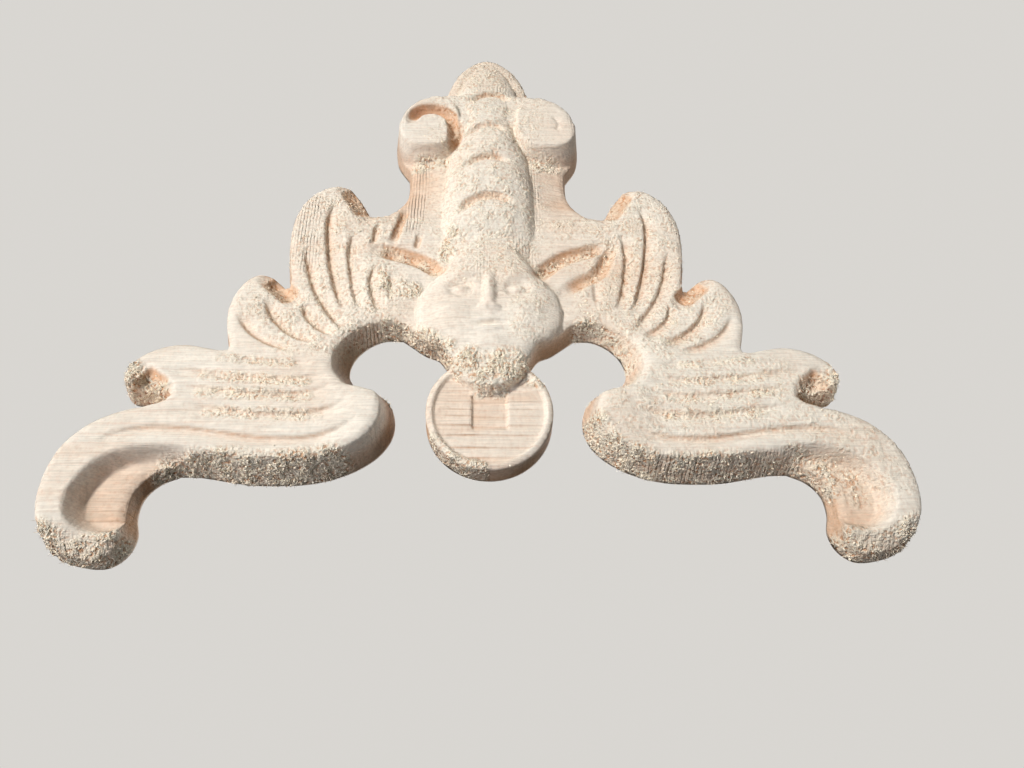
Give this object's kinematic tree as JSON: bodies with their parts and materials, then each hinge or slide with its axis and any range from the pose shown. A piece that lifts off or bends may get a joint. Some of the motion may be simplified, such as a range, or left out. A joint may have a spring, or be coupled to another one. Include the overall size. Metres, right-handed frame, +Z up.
{
  "type": "carved wood applique",
  "caption": "Flat-backed carved softwood applique: scroll wings, banded headdress, pointed-eared mask and round medallion, glued on furniture as a crest.",
  "frame": {"origin": "on the flat back, on the middle line, 116 mm above the line the arms' feet stand on, behind the forehead of the mask", "axes": "+Z up towards the bud, +X to the viewer's right as the carving is seen, +Y out of the flat back into the wall or furniture; the carving faces -Y"},
  "size_m": [0.306, 0.0188, 0.256],
  "materials": {
    "raw_softwood": "raw milled softwood, unsanded, with raised fibres"
  },
  "bodies": {
    "root": {"carved_applique": "raw_softwood"}
  },
  "joints": []
}
